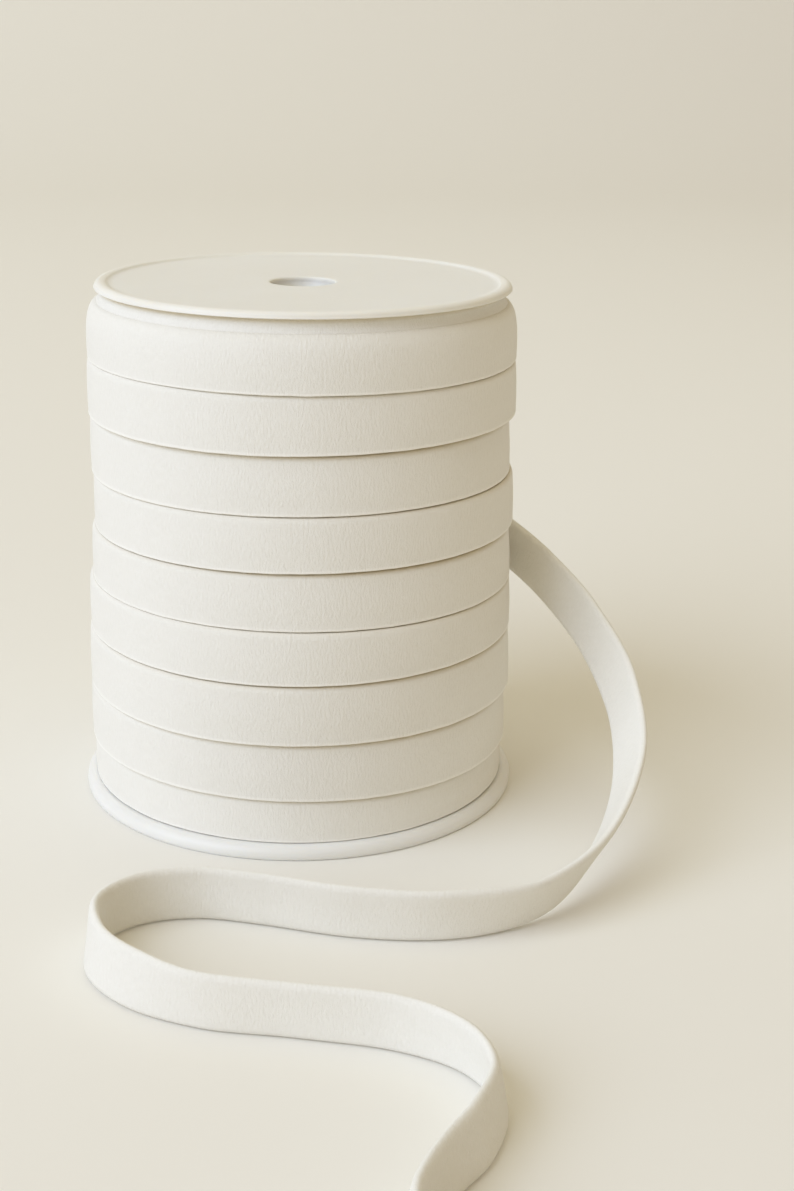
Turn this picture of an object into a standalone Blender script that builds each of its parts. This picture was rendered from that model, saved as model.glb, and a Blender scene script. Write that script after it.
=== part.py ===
"""A spool of flat elastic that stands on its base flange, with one loose end.

Metres, +Z up. The origin is on the surface that the spool stands on, under its axis. The loose end
leaves the fifth row behind the right-hand side, comes down to the surface, crosses in front of the
spool standing on its edge, turns back and runs towards -Y.
"""

import math

import bmesh
import bpy
from mathutils import Vector
from mathutils.geometry import interpolate_bezier

MM = 0.001
GAP = 0.3 * MM

# Spool
TOTAL_HEIGHT = 97.3 * MM
BASE_RADIUS = 41.25 * MM
TOP_RADIUS = 38.0 * MM
TOP_OFFSET_X = 0.8 * MM
HOLE_RADIUS = 5.8 * MM
TOP_RIM_HEIGHT = 1.75 * MM
BASE_RIM_HEIGHT = 2.3 * MM
RIM_WIDTH = 2.6 * MM
BASE_RIM_WIDTH = 2.1 * MM
RIM_FILLET = 0.4 * MM
DISC_RECESS = 0.5 * MM
BASE_DISC = 2.15 * MM
LIP_RADIUS = 0.45 * MM
CORE_RADIUS = 12.0 * MM
BORE_RADIUS = 6.2 * MM
ROUND_STEPS = 64
CORE_STEPS = 32

# Where the round bead of each rim starts inside and ends underneath, in degrees from +X
TOP_BEAD = (155.0, -80.0)
BASE_BEAD = (110.0, -65.0)
BEAD_POINTS = 9

# Elastic
STRIP_WIDTH = 9.5 * MM
STRIP_THICKNESS = 1.6 * MM
STRIP_ROUNDING = (1.1 * MM, 0.6 * MM)
GROOVE_DEPTH = 1.0 * MM
ROW_STEPS = 56
ROW_WAVE = 0.12 * MM

# The face of one row: how far in from the row's radius, then how far below its upper edge
ROW_TOP = ((0.45 * MM, 0.3 * MM), (0.1 * MM, 1.4 * MM))
# The same, then how far above its lower edge
ROW_FOOT = ((0.0, 1.3 * MM), (0.25 * MM, 0.3 * MM))

# The narrow shoulder that shows between the top flange and the first full row
SHOULDER_HEIGHT = 2.9 * MM
SHOULDER_RADIUS = 37.0 * MM
SHOULDER_ROUNDING = 0.85 * MM

# How far the last row tucks in over the base
LAST_ROW_TUCK = 2.5 * MM

# The place where the loose end peels off its row, and the step that its layer leaves there
PEEL_ROW = 4
PEEL_ANGLE = math.radians(36.0)
PEEL_FADE = math.radians(140.0)
PEEL_STEP = 2.2 * MM
PEEL_HEIGHT = 46.95 * MM
PEEL_SLOPE = math.tan(math.radians(12.0))
PEEL_CLEARANCE = 0.4 * MM
PEEL_FACE = 0.008
START_ANGLE = PEEL_ANGLE - 0.05

# One line for each row of the winding, from the top down, in millimetres:
# lower edge at the axis, radius, sideways shift of the row, and how far its right side is raised
ROWS = (
    (83.45, 39.25, 0.65, -0.25),
    (73.10, 39.35, 0.60, 0.15),
    (62.60, 38.90, 0.40, 0.05),
    (52.55, 39.15, 0.90, 0.20),
    (42.20, 39.45, 0.50, -0.15),
    (32.35, 39.85, 0.25, -0.10),
    (21.20, 40.05, 0.05, -0.35),
    (10.30, 39.65, 0.00, -0.50),
    (2.60, 39.35, -0.05, 0.20),
)

# The loose end's middle line after the peel point, in millimetres, with the lean of its width in
# degrees: 0 is upright, negative leans the upper edge to the left of the way that it runs
ROUTE = (
    (40.0, 14.0, 44.5, -3.0),
    (47.5, 3.0, 40.0, -6.0),
    (54.5, -9.5, 33.5, -12.0),
    (59.0, -24.0, 25.5, -24.0),
    (58.5, -39.0, 17.0, -34.0),
    (51.5, -54.5, 9.5, -33.0),
    (40.0, -66.5, 5.3, -21.0),
    (24.5, -71.5, 4.9, -9.0),
    (8.5, -70.0, 4.9, -4.0),
    (-6.5, -65.0, 4.9, -2.0),
    (-17.0, -62.5, 4.9, -1.0),
    (-26.5, -64.5, 4.9, -1.0),
    (-32.5, -71.5, 4.9, -3.0),
    (-32.0, -81.5, 4.9, -12.0),
    (-26.0, -90.0, 4.9, -12.0),
    (-15.5, -97.0, 4.9, 1.0),
    (-1.0, -100.5, 4.9, 4.0),
    (14.0, -104.5, 4.9, 2.0),
    (23.5, -111.5, 4.9, 7.0),
    (27.0, -121.5, 4.9, 10.0),
    (24.0, -131.5, 4.9, 14.0),
    (19.5, -138.5, 4.9, 10.0),
    (14.5, -147.5, 4.9, 1.0),
    (13.5, -156.5, 4.9, -4.0),
    (13.5, -166.0, 4.9, -4.0),
)
STATION_STEP = 3.3 * MM
CURVE_STEPS = 24

SMOOTH_ANGLE = math.radians(35.0)
FULL_TURN = 2.0 * math.pi


def clear_scene():
    for item in list(bpy.data.objects):
        bpy.data.objects.remove(item, do_unlink=True)


def plain_material(name, color, roughness):
    material = bpy.data.materials.new(name)
    material.use_nodes = True
    shader = material.node_tree.nodes["Principled BSDF"]
    shader.inputs["Base Color"].default_value = (*color, 1.0)
    shader.inputs["Roughness"].default_value = roughness
    shader.inputs["Metallic"].default_value = 0.0
    material.diffuse_color = (*color, 1.0)
    return material


def closed_mesh(name, rings, material, capped):
    """Joins rings of points into one closed skin: capped at its ends, or else back to the first."""
    mesh = bmesh.new()
    loops = [[mesh.verts.new(point) for point in ring] for ring in rings]
    size = len(loops[0])
    following = loops[1:] if capped else loops[1:] + loops[:1]
    for near, far in zip(loops, following):
        for i in range(size):
            j = (i + 1) % size
            mesh.faces.new((near[i], near[j], far[j], far[i]))
    if capped:
        mesh.faces.new(loops[0])
        mesh.faces.new(loops[-1])
    bmesh.ops.recalc_face_normals(mesh, faces=mesh.faces)
    data = bpy.data.meshes.new(name)
    mesh.to_mesh(data)
    mesh.free()
    data.materials.append(material)
    data.shade_smooth()
    data.set_sharp_from_angle(angle=SMOOTH_ANGLE)
    piece = bpy.data.objects.new(name, data)
    bpy.context.collection.objects.link(piece)
    return piece


def turned(name, outline, steps, material, shift=0.0):
    """Turns a closed outline of radius and height about +Z."""
    rings = []
    for k in range(steps):
        angle = FULL_TURN * k / steps
        c, s = math.cos(angle), math.sin(angle)
        rings.append([(shift + r * c, r * s, z) for r, z in outline])
    return closed_mesh(name, rings, material, capped=False)


def bead(radius_in, radius_out, low, high, ends):
    """Part of an oval between two radii and two heights, from one angle round to the other."""
    middle_r, middle_z = (radius_in + radius_out) / 2, (low + high) / 2
    half_r, half_z = (radius_out - radius_in) / 2, (high - low) / 2
    start, end = ends
    points = []
    for k in range(BEAD_POINTS):
        angle = math.radians(start + (end - start) * k / (BEAD_POINTS - 1))
        points.append((middle_r + half_r * math.cos(angle), middle_z + half_z * math.sin(angle)))
    return points


def top_flange(material):
    """A flat disc, slightly recessed inside a round rim, with a soft lip at its hole."""
    under = TOTAL_HEIGHT - TOP_RIM_HEIGHT
    face = TOTAL_HEIGHT - DISC_RECESS
    rim_inner = TOP_RADIUS - RIM_WIDTH
    outline = [
        (HOLE_RADIUS, under),
        (HOLE_RADIUS, face - LIP_RADIUS),
        (HOLE_RADIUS + 0.3 * LIP_RADIUS, face - 0.3 * LIP_RADIUS),
        (HOLE_RADIUS + LIP_RADIUS, face),
        (rim_inner - RIM_FILLET, face),
    ]
    outline += bead(rim_inner, TOP_RADIUS, under, TOTAL_HEIGHT, TOP_BEAD)
    outline += [(rim_inner, under)]
    return turned("top_flange", outline, ROUND_STEPS, material, TOP_OFFSET_X)


def bottom_flange(material):
    """A flat disc with the hole through it and a rounded rim that stands on the surface."""
    rim_inner = BASE_RADIUS - BASE_RIM_WIDTH
    outline = [(HOLE_RADIUS, 0.0), (HOLE_RADIUS, BASE_DISC), (rim_inner - RIM_FILLET, BASE_DISC)]
    outline += bead(rim_inner, BASE_RADIUS, 0.0, BASE_RIM_HEIGHT, BASE_BEAD)
    outline += [(BASE_RADIUS - 0.75 * BASE_RIM_WIDTH, 0.0)]
    return turned("bottom_flange", outline, ROUND_STEPS, material)


def core_tube(material):
    low = BASE_DISC + GAP
    high = TOTAL_HEIGHT - TOP_RIM_HEIGHT - GAP
    outline = [(BORE_RADIUS, low), (BORE_RADIUS, high), (CORE_RADIUS, high), (CORE_RADIUS, low)]
    return turned("core_tube", outline, CORE_STEPS, material)


def peel_bulge(row, angle):
    """How far the last layer lifts a row before the loose end leaves it."""
    if row != PEEL_ROW:
        return 0.0
    before = (angle - PEEL_ANGLE) % FULL_TURN
    if before > PEEL_FADE:
        return 0.0
    fade = 0.5 + 0.5 * math.cos(math.pi * before / PEEL_FADE)
    return PEEL_STEP * fade


def row_edge(row, angle):
    """The height of a row's lower edge at an angle, with the row's slant and a slow wave."""
    low, _, _, rise = ROWS[row]
    wave = ROW_WAVE * math.sin(2.0 * angle + 1.7 * row)
    return (low + rise * math.cos(angle)) * MM + wave


def row_radius(row, angle):
    """The row's radius at an angle, with its sideways shift and a slow wave."""
    _, radius, shift, _ = ROWS[row]
    wave = ROW_WAVE * math.sin(3.0 * angle + 2.3 * row)
    return (radius + shift * math.cos(angle)) * MM + wave + peel_bulge(row, angle)


def winding_outline(angle):
    """The section of the winding at one angle, from the shoulder down to the base and back."""
    ceiling = TOTAL_HEIGHT - TOP_RIM_HEIGHT - GAP
    shoulder_foot = ceiling - SHOULDER_HEIGHT
    shoulder = SHOULDER_RADIUS + TOP_OFFSET_X * math.cos(angle)
    outline = [
        (shoulder, ceiling),
        (shoulder + SHOULDER_ROUNDING, ceiling - SHOULDER_ROUNDING),
        (row_radius(0, angle) - SHOULDER_ROUNDING, shoulder_foot + SHOULDER_ROUNDING / 2),
    ]
    last = len(ROWS) - 1
    for row in range(len(ROWS)):
        radius = row_radius(row, angle)
        low = row_edge(row, angle)
        high = shoulder_foot if row == 0 else row_edge(row - 1, angle)
        outline += [(radius - inset, high - drop) for inset, drop in ROW_TOP]
        outline += [(radius - inset, low + rise) for inset, rise in ROW_FOOT]
        if row < last:
            outline.append((min(radius, row_radius(row + 1, angle)) - GROOVE_DEPTH, low))
    floor = BASE_DISC + GAP
    inner = CORE_RADIUS + GAP
    outline += [(row_radius(last, angle) - LAST_ROW_TUCK, floor), (inner, floor), (inner, ceiling)]
    return outline


def wound_elastic(material):
    """The wound rows as one solid, with the steep face of the step where the loose end leaves."""
    angles = [PEEL_ANGLE + FULL_TURN * k / ROW_STEPS for k in range(ROW_STEPS)]
    angles.append(PEEL_ANGLE + FULL_TURN - PEEL_FACE)
    rings = []
    for angle in angles:
        c, s = math.cos(angle), math.sin(angle)
        rings.append([(r * c, r * s, z) for r, z in winding_outline(angle)])
    return closed_mesh("wound_elastic", rings, material, capped=False)


def route_points():
    """The loose end's middle line and lean, from its start on the peel row to its cut end."""
    surface = row_radius(PEEL_ROW, START_ANGLE)
    reach = surface + PEEL_CLEARANCE + STRIP_THICKNESS / 2
    start = Vector((reach * math.cos(START_ANGLE), reach * math.sin(START_ANGLE), PEEL_HEIGHT))
    points = [(start, 0.0)]
    points += [(Vector(row[:3]) * MM, math.radians(row[3])) for row in ROUTE]
    return points


def fine_line(points):
    """Small steps along a smooth curve through the points, each with its lean."""
    places = [place for place, _ in points]
    last = len(places) - 1
    leave = Vector((math.sin(START_ANGLE), -math.cos(START_ANGLE), -PEEL_SLOPE))
    line = []
    for i in range(last):
        here, there = places[i], places[i + 1]
        out = leave * (there - here).length if i == 0 else (there - places[i - 1]) / 2
        into = (places[min(i + 2, last)] - here) / 2
        curve = interpolate_bezier(here, here + out / 3, there - into / 3, there, CURVE_STEPS + 1)
        for k, place in enumerate(curve[:-1]):
            part = k / CURVE_STEPS
            ease = part * part * (3.0 - 2.0 * part)
            line.append((place, points[i][1] * (1.0 - ease) + points[i + 1][1] * ease))
    line.append(points[-1])
    return line


def even_stations(line, step):
    """The same line at even distances of about one step."""
    lengths = [0.0]
    for (a, _), (b, _) in zip(line, line[1:]):
        lengths.append(lengths[-1] + (b - a).length)
    count = round(lengths[-1] / step)
    stations = []
    j = 0
    for k in range(count + 1):
        target = lengths[-1] * k / count
        while j < len(line) - 2 and lengths[j + 1] < target:
            j += 1
        part = (target - lengths[j]) / (lengths[j + 1] - lengths[j])
        part = min(max(part, 0.0), 1.0)
        (a, lean_a), (b, lean_b) = line[j], line[j + 1]
        stations.append((a.lerp(b, part), lean_a + (lean_b - lean_a) * part))
    return stations


def strip_section():
    """The strip's section with cut corners, as steps along its width and its thickness."""
    w, t = STRIP_WIDTH / 2, STRIP_THICKNESS / 2
    cut_w, cut_t = STRIP_ROUNDING
    corner = [(w, t - cut_t), (w - 0.3 * cut_w, t - 0.3 * cut_t), (w - cut_w, t)]
    return (
        corner
        + [(-a, b) for a, b in reversed(corner)]
        + [(-a, -b) for a, b in corner]
        + [(a, -b) for a, b in reversed(corner)]
    )


def loose_end(material):
    """The strip's section carried along its route, with its width near upright."""
    stations = even_stations(fine_line(route_points()), STATION_STEP)
    section = strip_section()
    up = Vector((0.0, 0.0, 1.0))
    rings = []
    for i, (place, lean) in enumerate(stations):
        ahead = stations[min(i + 1, len(stations) - 1)][0]
        behind = stations[max(i - 1, 0)][0]
        along = (ahead - behind).normalized()
        upright = (up - along * up.dot(along)).normalized()
        side = along.cross(upright)
        width = upright * math.cos(lean) + side * math.sin(lean)
        depth = along.cross(width)
        rings.append([place + width * a + depth * b for a, b in section])
    return closed_mesh("loose_end", rings, material, capped=True)


def build():
    clear_scene()
    top_plastic = plain_material("ivory_plastic", (0.80, 0.78, 0.72), 0.42)
    base_plastic = plain_material("white_plastic", (0.84, 0.84, 0.83), 0.40)
    core_plastic = plain_material("core_plastic", (0.72, 0.69, 0.62), 0.50)
    wound = plain_material("ivory_elastic", (0.83, 0.82, 0.78), 0.88)
    tail = plain_material("ivory_elastic_tail", (0.83, 0.82, 0.78), 0.88)
    bottom_flange(base_plastic)
    top_flange(top_plastic)
    core_tube(core_plastic)
    wound_elastic(wound)
    loose_end(tail)


build()
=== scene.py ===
"""A spool of flat elastic on a plain pale floor, with one loose end.

Metres, +Z up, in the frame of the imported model. The camera and the loose end come first, then the
wound rows, the moulded flanges, their materials, the floor and the light.
"""

import math

import bpy
from mathutils import Matrix, Vector, noise
from mathutils.geometry import interpolate_bezier


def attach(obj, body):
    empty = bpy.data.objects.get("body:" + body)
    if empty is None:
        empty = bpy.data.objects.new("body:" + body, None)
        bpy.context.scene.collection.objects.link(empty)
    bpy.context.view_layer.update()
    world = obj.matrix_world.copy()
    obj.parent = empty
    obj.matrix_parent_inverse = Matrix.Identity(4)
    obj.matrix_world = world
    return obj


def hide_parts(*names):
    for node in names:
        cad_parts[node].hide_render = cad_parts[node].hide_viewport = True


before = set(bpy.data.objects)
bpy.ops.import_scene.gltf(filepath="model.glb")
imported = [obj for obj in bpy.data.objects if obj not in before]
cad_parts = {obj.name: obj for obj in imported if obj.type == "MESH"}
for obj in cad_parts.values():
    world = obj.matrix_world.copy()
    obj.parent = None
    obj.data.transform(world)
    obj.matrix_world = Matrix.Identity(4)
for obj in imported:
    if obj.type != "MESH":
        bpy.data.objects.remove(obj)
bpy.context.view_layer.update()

MM = 0.001
FULL_TURN = 2.0 * math.pi
SHARP_ANGLE = math.radians(50.0)

# Camera: place, directions in degrees, and focal length in pixels of the 794 x 1191 frame
CAMERA_PLACE = Vector((0.0, -342.165, 147.015)) * MM
CAMERA_PITCH = math.radians(17.91)
CAMERA_YAW = math.radians(3.16)
CAMERA_ROLL = math.radians(0.76)
FOCAL_PIXELS = 1860.96
FRAME_HEIGHT = 1191
SENSOR = 36.0

# Spool, with the small sideways shifts of its hole and of its top rim
TOTAL_HEIGHT = 97.3 * MM
BASE_RADIUS = 41.55 * MM
BASE_DISC = 2.68 * MM
BASE_WIDEST = 1.0 * MM
TOP_RADIUS = 38.15 * MM
HOLE_SHIFT = 0.8 * MM
RIM_SHIFT = 1.1 * MM
HOLE_RADIUS = 5.8 * MM
COLLAR_DEPTH = 1.8 * MM
COLLAR_NARROWING = 1.0 * MM
HOLE_EDGE = (0.5 * MM, 0.45 * MM)
RIM_HEIGHT = 1.2 * MM
RIM_WIDTH = 2.6 * MM
DISC_RECESS = 0.5 * MM
DISC_MIDDLE = 20.0 * MM
LIP_RADIUS = 0.15 * MM
BASE_FOOT = 0.3 * MM
LATHE_STEPS = 256

# Elastic
STRIP_WIDTH = 9.5 * MM
STRIP_THICKNESS = 1.6 * MM
STRIP_CORNER = 1.25 * MM
STRIP_CROWN = 0.03 * MM
STRIP_EDGE_ROLL = 0.035 * MM
STRIP_PUFF = 0.02 * MM
ROW_STEPS = 420
ROW_DEPTH = 3.2 * MM
ROW_WAVE = 0.12 * MM
ROW_CROWN = 0.1 * MM
ROW_GRAIN = 0.02 * MM
EDGE_RIPPLE = 0.05 * MM
RADIUS_RIPPLE = 0.06 * MM
RIPPLES_ROUND = 14.0
SHOULDER_RADIUS = 38.0 * MM
SHOULDER_SHIFT = 0.8 * MM
SHOULDER_WAVE = 0.07 * MM
PACKING_RADIUS = 37.0 * MM

# The soft edges of a row, inwards and in height, and how far its upper part stands back
ROW_TOP_EDGE = (0.62 * MM, 1.35 * MM)
ROW_FOOT_EDGE = (0.24 * MM, 0.28 * MM)
ROW_SET_BACK = 0.34 * MM
ROW_FLARE = 0.04 * MM
ROW_SEAM = 0.42 * MM
SEAM_ANGLE = math.radians(-20.0)

# Points on a row's section: on each soft edge, and down its face as shares of the way
EDGE_POINTS = 8
FACE_PARTS = (0.12, 0.28, 0.46, 0.64, 0.8, 0.95)

# The place where the loose end peels off its row
PEEL_ROW = 4
PEEL_ANGLE = math.radians(36.0)
PEEL_FADE = math.radians(140.0)
PEEL_STEP = 2.05 * MM
PEEL_HEIGHT = 46.95 * MM
PEEL_SLOPE = math.tan(math.radians(12.0))
PEEL_CLEARANCE = 0.4 * MM
PEEL_NARROWING = 0.4 * MM
PEEL_FACE = 0.004
START_ANGLE = PEEL_ANGLE - 0.05
TUCKED_LENGTH = 4.0 * MM

# One line for each row of the winding, from the top down. In millimetres: its lower edge at the
# axis, radius, sideways shift, and how far its right side is raised. Last, how open the seam above
# it is, as a share of the widest.
ROWS = (
    (83.60, 39.50, 0.85, 0.00, 0.30),
    (73.45, 39.60, 0.80, 0.15, 0.45),
    (62.70, 39.10, 0.65, 0.05, 1.00),
    (52.70, 39.45, 1.10, 0.30, 0.60),
    (42.40, 39.55, 0.65, -0.05, 1.15),
    (32.70, 40.10, 0.50, -0.05, 0.55),
    (21.45, 40.35, 0.25, -0.45, 1.00),
    (10.70, 40.05, 0.05, -0.45, 0.90),
    (2.85, 39.60, 0.00, 0.10, 0.60),
)
FIRST_ROW_TOP = 93.75 * MM

# The first row's soft top edge: outwards from its radius and down from its top, in millimetres
FIRST_TOP_EDGE = (
    (-1.85, 0.0),
    (-1.6, 0.06),
    (-1.3, 0.24),
    (-1.02, 0.54),
    (-0.74, 1.0),
    (-0.46, 1.65),
    (-0.22, 2.5),
    (-0.05, 3.6),
)

# The loose end's middle line after the peel point, in millimetres, with the lean of its width in
# degrees: 0 is upright, negative leans the upper edge to the left of the way that it runs
ROUTE = (
    (40.0, 14.0, 44.5, -3.0),
    (47.5, 3.0, 40.0, -6.0),
    (54.5, -9.5, 33.5, -12.0),
    (59.0, -24.0, 25.5, -24.0),
    (58.5, -39.0, 17.0, -34.0),
    (51.5, -54.5, 9.5, -33.0),
    (40.0, -66.5, 5.3, -21.0),
    (24.5, -71.5, 4.9, -9.0),
    (8.5, -70.0, 4.9, -4.0),
    (-6.5, -65.0, 4.9, -2.0),
    (-17.0, -62.5, 4.9, -1.0),
    (-26.5, -64.5, 4.9, -1.0),
    (-32.5, -71.5, 4.9, -3.0),
    (-32.0, -81.5, 4.9, -12.0),
    (-26.0, -90.0, 4.9, -12.0),
    (-15.5, -97.0, 4.9, 1.0),
    (-1.0, -100.5, 4.9, 4.0),
    (14.0, -104.5, 4.9, 2.0),
    (23.5, -111.5, 4.9, 7.0),
    (27.0, -121.5, 4.9, 10.0),
    (24.0, -131.5, 4.9, 14.0),
    (19.5, -138.5, 4.9, 10.0),
    (14.5, -147.5, 4.9, 1.0),
    (13.5, -156.5, 4.9, -4.0),
    (13.5, -166.0, 4.9, -4.0),
)
STATION_STEP = 0.7 * MM
CURVE_STEPS = 24


def make_camera():
    sin_pitch, cos_pitch = math.sin(CAMERA_PITCH), math.cos(CAMERA_PITCH)
    sin_yaw, cos_yaw = math.sin(CAMERA_YAW), math.cos(CAMERA_YAW)
    ahead = Vector((sin_yaw * cos_pitch, cos_yaw * cos_pitch, -sin_pitch))
    right = Vector((cos_yaw, -sin_yaw, 0.0))
    up = right.cross(ahead)
    rolled_right = right * math.cos(CAMERA_ROLL) + up * math.sin(CAMERA_ROLL)
    rolled_up = up * math.cos(CAMERA_ROLL) - right * math.sin(CAMERA_ROLL)
    data = bpy.data.cameras.new("camera")
    data.sensor_width = SENSOR
    data.lens = FOCAL_PIXELS * SENSOR / FRAME_HEIGHT
    data.clip_start = 0.01
    data.clip_end = 20.0
    camera = bpy.data.objects.new("camera", data)
    turn = Matrix((rolled_right, rolled_up, -ahead)).transposed()
    camera.matrix_world = Matrix.Translation(CAMERA_PLACE) @ turn.to_4x4()
    bpy.context.collection.objects.link(camera)
    bpy.context.scene.camera = camera


def lofted(name, rings, along, around, joined):
    """A skin over rings of points, with UVs in metres: its ends are capped, or joined if asked.

    along has the distance of each ring, and around that of each point on a ring. Both have one
    more entry than there are points where the skin closes on itself.
    """
    size = len(rings[0])
    count = len(rings)
    points = [point for ring in rings for point in ring]
    faces = []
    corners = []
    for i in range(count if joined else count - 1):
        i_next = (i + 1) % count
        for j in range(size):
            j_next = (j + 1) % size
            near, far = i * size, i_next * size
            faces.append((near + j, near + j_next, far + j_next, far + j))
            corners += [
                (along[i], around[j]),
                (along[i], around[j + 1]),
                (along[i + 1], around[j + 1]),
                (along[i + 1], around[j]),
            ]
    if not joined:
        for i, order in ((0, range(size - 1, -1, -1)), (count - 1, range(size))):
            faces.append([i * size + j for j in order])
            corners += [(along[i], around[j]) for j in order]
    data = bpy.data.meshes.new(name)
    data.from_pydata(points, [], faces)
    uv = data.uv_layers.new(name="UVMap")
    uv.data.foreach_set("uv", [value for corner in corners for value in corner])
    data.shade_smooth()
    data.set_sharp_from_angle(angle=SHARP_ANGLE)
    piece = bpy.data.objects.new(name, data)
    bpy.context.collection.objects.link(piece)
    return piece


def distances(points):
    """Running distance along a closed ring of points, from 0 to its whole length."""
    total = 0.0
    result = [0.0]
    for a, b in zip(points, points[1:] + points[:1]):
        total += math.dist(a, b)
        result.append(total)
    return result


def ripple(x, y, seed):
    """Smooth noise between about -1 and 1."""
    return noise.noise(Vector((x, y, seed)))


def peel_share(row, angle):
    """How much of the last layer's lift a row has at an angle, from 0 to 1."""
    if row != PEEL_ROW:
        return 0.0
    before = (angle - PEEL_ANGLE) % FULL_TURN
    if before > PEEL_FADE:
        return 0.0
    return 0.5 + 0.5 * math.cos(math.pi * before / PEEL_FADE)


def row_edge(row, angle):
    """The height of a row's lower edge at an angle, with the row's slant and a slow wave."""
    low, _, _, rise, _ = ROWS[row]
    wave = ROW_WAVE * math.sin(2.0 * angle + 1.7 * row)
    return (low + rise * math.cos(angle)) * MM + wave


def row_radius(row, angle):
    """The row's radius at an angle, with its sideways shift and a slow wave."""
    _, radius, shift, _, _ = ROWS[row]
    wave = ROW_WAVE * math.sin(3.0 * angle + 2.3 * row)
    return (radius + shift * math.cos(angle)) * MM + wave


def oval(middle, half, start, end, count):
    """Part of an oval with those half sizes about its middle, from one angle to another in degrees."""
    points = []
    for k in range(count):
        angle = math.radians(start + (end - start) * k / (count - 1))
        points.append((middle[0] + half[0] * math.cos(angle), middle[1] + half[1] * math.sin(angle)))
    return points


def seam_share(row, angle):
    """How open the seam above a row is at an angle: least at the back left."""
    return ROWS[row][4] * (0.53 + 0.47 * math.cos(angle - SEAM_ANGLE))


def row_section(row, angle):
    """A row's section at one angle: radius and height, from its inner top round to its inner foot."""
    share = peel_share(row, angle)
    openness = seam_share(row, angle)
    turn_x, turn_y = RIPPLES_ROUND * math.cos(angle), RIPPLES_ROUND * math.sin(angle)
    radius = row_radius(row, angle) + PEEL_STEP * share
    low = row_edge(row, angle) + PEEL_NARROWING * share
    high = FIRST_ROW_TOP if row == 0 else row_edge(row - 1, angle)
    high -= ROW_SEAM * openness + PEEL_NARROWING * share
    low += EDGE_RIPPLE * ripple(turn_x, turn_y, 3.1 * row + 0.5)
    radius += RADIUS_RIPPLE * ripple(0.4 * turn_x, 0.4 * turn_y, 5.3 * row + 0.7)
    set_back = ROW_SET_BACK * openness * (1.0 - share)
    top_radius = radius - set_back
    inner = radius - ROW_DEPTH
    top_in, top_drop = ROW_TOP_EDGE
    foot_in, foot_rise = ROW_FOOT_EDGE
    if row == 0:
        section = [(inner, high), (top_radius - 2.2 * MM, high)]
        section += [(top_radius + step * MM, high - drop * MM) for step, drop in FIRST_TOP_EDGE]
        top_drop = FIRST_TOP_EDGE[-1][1] * MM
    else:
        section = [(inner, high), (top_radius - top_in - 0.7 * MM, high)]
        middle = (top_radius - top_in, high - top_drop)
        section += oval(middle, (top_in, top_drop), 90.0, 0.0, EDGE_POINTS)
    face_top, face_low = high - top_drop, low + foot_rise
    for part in FACE_PARTS:
        height = face_top + (face_low - face_top) * part
        crown = ROW_CROWN * math.sin(math.pi * part)
        grain = ROW_GRAIN * ripple(3.0 * turn_x, 3.0 * turn_y, 900.0 * height)
        section.append((top_radius + set_back * part + crown + grain, height))
    edge = radius + ROW_FLARE
    middle = (edge - foot_in, low + foot_rise)
    section += oval(middle, (foot_in, foot_rise), 0.0, -90.0, EDGE_POINTS)
    section += [(edge - foot_in - 0.9 * MM, low), (inner, low)]
    return section


def row_seam_shading(row, angle):
    """How much painted shade each point of a row's section gets, from 0 to 1: more the deeper it lies
    in a seam.
    """
    under = seam_share(min(row + 1, len(ROWS) - 1), angle)
    top = [1.0, 1.0] + [max(0.0, 1.0 - 0.2 * k) for k in range(EDGE_POINTS)]
    foot = [max(0.0, 0.3 * (k - 3)) for k in range(EDGE_POINTS)] + [1.0, 1.0]
    values = [value * seam_share(row, angle) for value in top] + [0.0] * len(FACE_PARTS)
    return [min(1.0, value) for value in values + [value * under for value in foot]]


def row_edge_highlights():
    """How much painted highlight each point of a row's section gets, on the soft round of its lower
    edge.
    """
    above = 2 + EDGE_POINTS + len(FACE_PARTS)
    return [0.0] * above + [1.0, 1.0, 0.8, 0.4, 0.0, 0.0, 0.0, 0.0] + [0.0, 0.0]


def ring_points(section, angle):
    c, s = math.cos(angle), math.sin(angle)
    return [(r * c, r * s, z) for r, z in section]


def make_row(row):
    """One wound row as a closed band, with its end face where the loose end leaves."""
    angles = [PEEL_ANGLE + FULL_TURN * k / ROW_STEPS for k in range(ROW_STEPS)]
    if row == PEEL_ROW:
        angles.append(PEEL_ANGLE + FULL_TURN - PEEL_FACE)
    rings = [ring_points(row_section(row, angle), angle) for angle in angles]
    radius = ROWS[row][1] * MM
    along = [radius * angle for angle in angles] + [radius * (PEEL_ANGLE + FULL_TURN)]
    around = distances(row_section(row, 0.0))
    band = lofted(f"row_{row + 1}", rings, along, around, joined=True)
    # Painted shade in the seams, as point weights for the elastic's colour.
    painted_shade = band.data.attributes.new("painted_shade", "FLOAT", "POINT")
    painted_shade.data.foreach_set("value", [v for angle in angles for v in row_seam_shading(row, angle)])
    # A painted highlight along the row's lower edge, as point weights for the elastic's colour.
    painted_highlight = band.data.attributes.new("painted_highlight", "FLOAT", "POINT")
    painted_highlight.data.foreach_set("value", row_edge_highlights() * len(angles))
    return band


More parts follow.
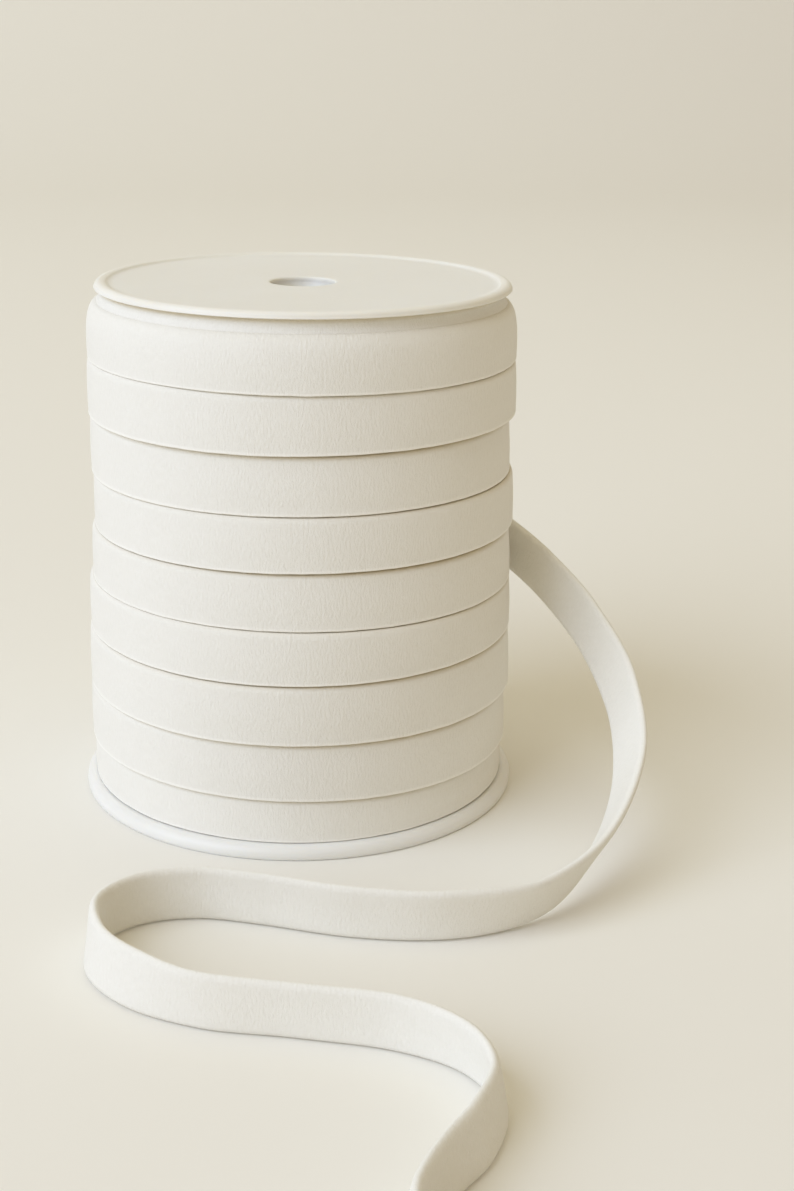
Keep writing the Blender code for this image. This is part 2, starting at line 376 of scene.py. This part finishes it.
def make_shoulder():
    """The upper part of an older layer, which shows between the top flange and the first row."""
    profile = (
        (33.0, 96.08),
        (36.45, 96.08),
        (36.6, 95.6),
        (36.8, 95.1),
        (37.0, 94.6),
        (37.25, 94.2),
        (37.5, 93.85),
        (37.65, 93.5),
        (37.55, 93.2),
        (33.0, 93.1),
    )
    angles = [FULL_TURN * k / ROW_STEPS for k in range(ROW_STEPS)]
    rings = []
    for angle in angles:
        shift = SHOULDER_SHIFT * math.cos(angle)
        wave = SHOULDER_WAVE * math.sin(3.0 * angle + 0.6)
        section = [(r * MM + shift + wave, z * MM) for r, z in profile]
        rings.append(ring_points(section, angle))
    along = [SHOULDER_RADIUS * angle for angle in angles] + [SHOULDER_RADIUS * FULL_TURN]
    around = distances([(r * MM, z * MM) for r, z in profile])
    shoulder = lofted("row_shoulder", rings, along, around, joined=True)
    # Painted shade under the top flange and where this band meets the first row, as point weights for
    # the elastic's colour.
    painted_shade = shoulder.data.attributes.new("painted_shade", "FLOAT", "POINT")
    shoulder_shade_weights = [1.0, 1.0, 0.75, 0.05, 0.0, 0.0, 0.0, 0.1, 0.4, 1.0]
    painted_shade.data.foreach_set("value", shoulder_shade_weights * len(angles))
    return shoulder


def make_packing():
    """The older layers behind the seams, from one flange to the other."""
    profile = (
        (12.4, 2.6),
        (36.6, 2.6),
        (37.3, 30.0),
        (37.2, 60.0),
        (36.9, 91.0),
        (35.6, 95.9),
        (12.4, 95.9),
    )
    section = [(r * MM, z * MM) for r, z in profile]
    angles = [FULL_TURN * k / LATHE_STEPS for k in range(LATHE_STEPS)]
    rings = [ring_points(section, angle) for angle in angles]
    along = [PACKING_RADIUS * angle for angle in angles] + [PACKING_RADIUS * FULL_TURN]
    return lofted("older_layers", rings, along, distances(section), joined=True)


def turned(name, outline, inner_shift=0.0, outer_shift=0.0):
    """Turns a closed outline of radius and height about the axis, with a sideways shift."""
    reach = max(r for r, _ in outline)
    angles = [FULL_TURN * k / LATHE_STEPS for k in range(LATHE_STEPS)]
    rings = []
    for angle in angles:
        ring = []
        for (r, _), (x, y, z) in zip(outline, ring_points(outline, angle)):
            shift = inner_shift + (outer_shift - inner_shift) * r / reach
            ring.append((x + shift, y, z))
        rings.append(ring)
    along = [reach * angle for angle in angles] + [reach * FULL_TURN]
    return lofted(name, rings, along, distances(outline), joined=True)


def make_top_flange():
    """A disc with a slightly recessed face, a rounded rim with a fine lower lip, and a hole."""
    under = TOTAL_HEIGHT - RIM_HEIGHT
    face = TOTAL_HEIGHT - DISC_RECESS
    rim_inner = TOP_RADIUS - RIM_WIDTH
    collar = under - COLLAR_DEPTH
    outline = [(HOLE_RADIUS, under), (HOLE_RADIUS, collar)]
    outline += [(HOLE_RADIUS - COLLAR_NARROWING, collar)]
    outline += oval((HOLE_RADIUS + 0.6 * MM, face - HOLE_EDGE[1]), HOLE_EDGE, 180.0, 90.0, 7)
    outline += [(HOLE_RADIUS + 2.0 * MM, face), (DISC_MIDDLE, face), (rim_inner - 1.0 * MM, face)]
    outline += [(rim_inner - 0.45 * MM, face + 0.02 * MM)]
    rim = TOP_RADIUS - 1.3 * MM
    outline += oval((rim, TOTAL_HEIGHT - 0.4 * MM), (1.1 * MM, 0.4 * MM), 168.0, 90.0, 7)[:-1]
    outline += oval((rim, under + 0.3 * MM), (1.17 * MM, RIM_HEIGHT - 0.3 * MM), 90.0, 4.0, 12)
    lip = (TOP_RADIUS - LIP_RADIUS, under + LIP_RADIUS)
    outline += oval(lip, (LIP_RADIUS, LIP_RADIUS), 40.0, -90.0, 7)
    outline += [(rim_inner, under), (DISC_MIDDLE, under)]
    return turned("flange_top", outline, HOLE_SHIFT, RIM_SHIFT)


def make_bottom_flange():
    """A disc that falls softly away to its rounded rim, plain and slightly raised underneath."""
    outline = [(HOLE_RADIUS, BASE_FOOT), (HOLE_RADIUS, BASE_DISC), (30.0 * MM, BASE_DISC)]
    outline += [(38.6 * MM, BASE_DISC), (39.2 * MM, BASE_DISC - 0.02 * MM)]
    upper = (1.9 * MM, BASE_DISC - BASE_WIDEST)
    outline += oval((BASE_RADIUS - 1.9 * MM, BASE_WIDEST), upper, 90.0, 0.0, 14)
    outline += oval((BASE_RADIUS - 0.5 * MM, BASE_WIDEST), (0.5 * MM, BASE_WIDEST), -9.0, -90.0, 10)
    outline += [(BASE_RADIUS - 2.4 * MM, BASE_FOOT), (DISC_MIDDLE, BASE_FOOT)]
    return turned("flange_base", outline)


def leaving_direction():
    """The way that the loose end runs where it leaves its row: round the roll and a little down."""
    return Vector((math.sin(START_ANGLE), -math.cos(START_ANGLE), -PEEL_SLOPE))


def route_points():
    """The loose end's middle line and lean, from the place where it leaves its row."""
    surface = row_radius(PEEL_ROW, START_ANGLE)
    reach = surface + PEEL_CLEARANCE + STRIP_THICKNESS / 2
    start = Vector((reach * math.cos(START_ANGLE), reach * math.sin(START_ANGLE), PEEL_HEIGHT))
    points = [(start, 0.0)]
    points += [(Vector(row[:3]) * MM, math.radians(row[3])) for row in ROUTE]
    return points


def fine_line(points):
    """Small steps along a smooth curve through the points, each with its lean."""
    places = [place for place, _ in points]
    last = len(places) - 1
    leave = leaving_direction()
    line = []
    for i in range(last):
        here, there = places[i], places[i + 1]
        out = leave * (there - here).length if i == 0 else (there - places[i - 1]) / 2
        into = (places[min(i + 2, last)] - here) / 2
        curve = interpolate_bezier(here, here + out / 3, there - into / 3, there, CURVE_STEPS + 1)
        for k, place in enumerate(curve[:-1]):
            part = k / CURVE_STEPS
            ease = part * part * (3.0 - 2.0 * part)
            line.append((place, points[i][1] * (1.0 - ease) + points[i + 1][1] * ease))
    line.append(points[-1])
    return line


def even_stations(line, step):
    """The same line at even distances of about one step."""
    lengths = [0.0]
    for (a, _), (b, _) in zip(line, line[1:]):
        lengths.append(lengths[-1] + (b - a).length)
    count = round(lengths[-1] / step)
    stations = []
    j = 0
    for k in range(count + 1):
        target = lengths[-1] * k / count
        while j < len(line) - 2 and lengths[j + 1] < target:
            j += 1
        part = (target - lengths[j]) / (lengths[j + 1] - lengths[j])
        part = min(max(part, 0.0), 1.0)
        (a, lean_a), (b, lean_b) = line[j], line[j + 1]
        stations.append((a.lerp(b, part), lean_a + (lean_b - lean_a) * part))
    return stations


def strip_section(distance):
    """The strip's soft-cornered section, as steps along its width and its thickness."""
    half_w, half_t, corner = STRIP_WIDTH / 2, STRIP_THICKNESS / 2, STRIP_CORNER
    section = []
    for sign in (1, -1):
        for start in (-90.0, 0.0) if sign > 0 else (90.0, 180.0):
            centre = (sign * (half_w - corner), 0.0)
            section += oval(centre, (corner, half_t), start, start + 90.0, 7)[:-1]
        section.append((sign * (half_w - corner), sign * half_t))
        steps = (0.5, 0.25, 0.0, -0.25, -0.5)
        section += [(sign * half_w * s, sign * (half_t + STRIP_CROWN)) for s in steps]
    shaped = []
    for a, b in section:
        edge = STRIP_EDGE_ROLL * ripple(1400.0 * distance, 0.0, 7.0 if a > 0 else 19.0)
        puff = STRIP_PUFF * ripple(900.0 * distance, 500.0 * a, 3.0)
        shaped.append((a * (1.0 + edge / half_w), b * (1.0 + puff / half_t)))
    return shaped


def make_strip():
    """The loose end: its section carried along its route, with its width near upright."""
    stations = even_stations(fine_line(route_points()), STATION_STEP)
    first = stations[0][0]
    back = leaving_direction().normalized() * TUCKED_LENGTH
    stations = [(first - back * part, 0.0) for part in (1.0, 0.75, 0.5, 0.25)] + stations
    up = Vector((0.0, 0.0, 1.0))
    along = [0.0]
    rings = []
    for i, (place, lean) in enumerate(stations):
        ahead = stations[min(i + 1, len(stations) - 1)][0]
        behind = stations[max(i - 1, 0)][0]
        if i > 0:
            along.append(along[-1] + (place - behind).length)
        heading = (ahead - behind).normalized()
        upright = (up - heading * up.dot(heading)).normalized()
        side = heading.cross(upright)
        width = upright * math.cos(lean) + side * math.sin(lean)
        depth = heading.cross(width)
        rings.append([place + width * a + depth * b for a, b in strip_section(along[-1])])
    around = distances(strip_section(0.0))
    strip = lofted("strip", rings, along, around, joined=False)
    return strip, [place for place, _ in stations], along[-1]


def linked(tree, kind, **values):
    node = tree.nodes.new(kind)
    for key, value in values.items():
        setattr(node, key, value)
    return node


def noise_node(tree, vector, scale, detail, roughness):
    node = linked(tree, "ShaderNodeTexNoise")
    node.inputs["Scale"].default_value = scale
    node.inputs["Detail"].default_value = detail
    node.inputs["Roughness"].default_value = roughness
    tree.links.new(vector, node.inputs["Vector"])
    return node.outputs["Fac"]


def stretched(tree, source, scale):
    node = linked(tree, "ShaderNodeMapping")
    node.inputs["Scale"].default_value = scale
    tree.links.new(source, node.inputs["Vector"])
    return node.outputs["Vector"]


def weighted_sum(tree, first, first_weight, second, second_weight):
    scaled = linked(tree, "ShaderNodeMath", operation="MULTIPLY")
    scaled.inputs[1].default_value = first_weight
    tree.links.new(first, scaled.inputs[0])
    total = linked(tree, "ShaderNodeMath", operation="MULTIPLY_ADD")
    total.inputs[1].default_value = second_weight
    tree.links.new(second, total.inputs[0])
    tree.links.new(scaled.outputs[0], total.inputs[2])
    return total.outputs[0]


def colour_ramp(tree, value, low, low_colour, high, high_colour):
    ramp = linked(tree, "ShaderNodeValToRGB")
    start, end = ramp.color_ramp.elements
    start.position = low
    start.color = (*low_colour, 1.0)
    end.position = high
    end.color = (*high_colour, 1.0)
    tree.links.new(value, ramp.inputs["Fac"])
    return ramp.outputs["Color"]


def bumped(tree, shader, height, distance, strength):
    bump = linked(tree, "ShaderNodeBump")
    bump.inputs["Distance"].default_value = distance
    bump.inputs["Strength"].default_value = strength
    tree.links.new(height, bump.inputs["Height"])
    tree.links.new(bump.outputs["Normal"], shader.inputs["Normal"])


def new_material(name, colour, roughness):
    material = bpy.data.materials.new(name)
    material.use_nodes = True
    material.diffuse_color = (*colour, 1.0)
    shader = material.node_tree.nodes["Principled BSDF"]
    shader.inputs["Base Color"].default_value = (*colour, 1.0)
    shader.inputs["Roughness"].default_value = roughness
    return material, material.node_tree, shader


def elastic_material():
    """Matte knitted elastic: short ribs across the strip, fine fuzz and faint uneven tone, with
    painted shade in the seams and under the top flange and a painted highlight along each row's lower
    edge.
    """
    # The third colour is painted shade for the seams and under the top flange.
    pale, deep, seam_shade_colour = (0.895, 0.880, 0.825), (0.855, 0.838, 0.775), (0.72, 0.64, 0.48)
    # A painted highlight colour for the rows' lower edges.
    edge = (0.98, 0.965, 0.91)
    material, tree, shader = new_material("elastic_knit", pale, 0.92)
    shader.inputs["Specular IOR Level"].default_value = 0.22
    shader.inputs["Sheen Weight"].default_value = 0.12
    shader.inputs["Sheen Roughness"].default_value = 0.5
    place = linked(tree, "ShaderNodeTexCoord").outputs["UV"]
    rib_place = stretched(tree, place, (2400.0, 850.0, 1.0))
    ribs = noise_node(tree, rib_place, scale=1.0, detail=2.0, roughness=0.55)
    fuzz_place = stretched(tree, place, (6200.0, 5200.0, 1.0))
    fuzz = noise_node(tree, fuzz_place, scale=1.0, detail=3.0, roughness=0.7)
    cloud_place = stretched(tree, place, (90.0, 130.0, 1.0))
    cloud = noise_node(tree, cloud_place, scale=1.0, detail=3.0, roughness=0.5)
    grain = weighted_sum(tree, ribs, 0.62, fuzz, 0.38)
    tone = weighted_sum(tree, grain, 0.75, cloud, 0.25)
    colour = colour_ramp(tree, tone, 0.3, deep, 0.62, pale)
    # A colour Mix node has its factor on socket 0, its colours on 6 and 7, and its result on 2
    # Over the knit colour: a painted highlight on the rows' lower edges, then painted shade in the
    # seams and under the top flange.
    for mark, shade in (("painted_highlight", edge), ("painted_shade", seam_shade_colour)):
        mix = linked(tree, "ShaderNodeMix", data_type="RGBA")
        share = linked(tree, "ShaderNodeAttribute", attribute_name=mark).outputs["Fac"]
        tree.links.new(share, mix.inputs[0])
        tree.links.new(colour, mix.inputs[6])
        mix.inputs[7].default_value = (*shade, 1.0)
        colour = mix.outputs[2]
    tree.links.new(colour, shader.inputs["Base Color"])
    bumped(tree, shader, grain, distance=0.00034, strength=0.6)
    return material


def plastic_material(name, pale, deep, roughness):
    """Satin moulded plastic with a faint mould texture and slightly uneven gloss."""
    material, tree, shader = new_material(name, pale, roughness)
    shader.inputs["IOR"].default_value = 1.49
    shader.inputs["Specular IOR Level"].default_value = 0.42
    shader.inputs["Subsurface Weight"].default_value = 0.35
    shader.inputs["Subsurface Radius"].default_value = (1.0, 0.9, 0.75)
    shader.inputs["Subsurface Scale"].default_value = 0.0015
    place = linked(tree, "ShaderNodeTexCoord").outputs["Object"]
    fine = noise_node(tree, place, scale=2600.0, detail=2.0, roughness=0.6)
    broad = noise_node(tree, place, scale=55.0, detail=4.0, roughness=0.55)
    colour = colour_ramp(tree, broad, 0.35, deep, 0.65, pale)
    tree.links.new(colour, shader.inputs["Base Color"])
    gloss = weighted_sum(tree, broad, 0.16, fine, 0.1)
    shift = linked(tree, "ShaderNodeMath", operation="ADD")
    shift.inputs[1].default_value = roughness - 0.13
    tree.links.new(gloss, shift.inputs[0])
    tree.links.new(shift.outputs[0], shader.inputs["Roughness"])
    texture = weighted_sum(tree, fine, 0.5, broad, 0.5)
    bumped(tree, shader, texture, distance=0.00005, strength=0.25)
    return material


def floor_material():
    """A plain pale studio surface."""
    material, _, shader = new_material("studio_floor", (0.868, 0.849, 0.79), 0.85)
    shader.inputs["Specular IOR Level"].default_value = 0.2
    return material


def make_floor():
    """A flat floor that curves up into a backdrop behind the object."""
    half_width, front, turn_start, turn_size, top = 6.0, -6.0, 1.1, 0.9, 2.4
    line = [(front, 0.0), (turn_start, 0.0)]
    for k in range(1, 17):
        angle = 0.5 * math.pi * k / 16
        line.append((turn_start + turn_size * math.sin(angle), turn_size * (1.0 - math.cos(angle))))
    line.append((turn_start + turn_size, top))
    points = [(x, y, z) for y, z in line for x in (-half_width, half_width)]
    faces = [(2 * i, 2 * i + 1, 2 * i + 3, 2 * i + 2) for i in range(len(line) - 1)]
    data = bpy.data.meshes.new("studio_floor")
    data.from_pydata(points, [], faces)
    data.shade_smooth()
    floor = bpy.data.objects.new("studio_floor", data)
    bpy.context.collection.objects.link(floor)
    data.materials.append(floor_material())


def area_light(name, place, target, size, power, colour):
    data = bpy.data.lights.new(name, "AREA")
    data.shape = "RECTANGLE"
    data.size, data.size_y = size
    data.energy = power
    data.color = colour
    light = bpy.data.objects.new(name, data)
    light.location = place
    light.rotation_euler = (Vector(target) - Vector(place)).to_track_quat("-Z", "Y").to_euler()
    bpy.context.collection.objects.link(light)


def make_light():
    """A large cool key from the front left, a soft light overhead, a wash and a warm surround."""
    area_light(
        "key",
        place=(-2.1, -1.4, 1.86),
        target=(0.0, -0.04, 0.04),
        size=(2.8, 2.8),
        power=84.0,
        colour=(0.686, 0.798, 1.0),
    )
    area_light(
        "overhead",
        place=(0.1, 0.1, 1.3),
        target=(0.0, -0.04, 0.0),
        size=(1.0, 1.0),
        power=2.4,
        colour=(0.957, 1.0, 0.805),
    )
    area_light(
        "wash",
        place=(-0.7, 0.9, 1.3),
        target=(-0.3, 2.0, 0.5),
        size=(1.4, 0.8),
        power=1.8,
        colour=(0.92, 1.0, 0.8),
    )
    world = bpy.data.worlds.new("surround")
    world.use_nodes = True
    background = world.node_tree.nodes["Background"]
    background.inputs["Color"].default_value = (1.0, 0.822, 0.565, 1.0)
    background.inputs["Strength"].default_value = 0.455
    bpy.context.scene.world = world
    bpy.context.scene.view_settings.view_transform = "Standard"


make_camera()

elastic = elastic_material()
strip, strip_path, strip_length = make_strip()
strip.data.materials.append(elastic)
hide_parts("loose_end")
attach(strip, "root")

for piece in [make_row(row) for row in range(len(ROWS))] + [make_shoulder(), make_packing()]:
    piece.data.materials.append(elastic)
    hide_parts("wound_elastic")
    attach(piece, "root")

ivory = plastic_material("flange_ivory", (0.85, 0.835, 0.775), (0.835, 0.815, 0.75), 0.42)
white = plastic_material("flange_white", (0.845, 0.84, 0.81), (0.83, 0.825, 0.79), 0.38)
tube_plastic = plastic_material("tube_ivory", (0.86, 0.84, 0.77), (0.84, 0.82, 0.74), 0.5)

for piece, node, material, slot in (
    (make_top_flange(), "top_flange", ivory, "spool_top"),
    (make_bottom_flange(), "bottom_flange", white, "spool_base"),
):
    piece.data.materials.append(material)
    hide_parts(node)
    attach(piece, "root")

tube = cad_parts["core_tube"]
tube.material_slots[0].material = tube_plastic

make_floor()
make_light()
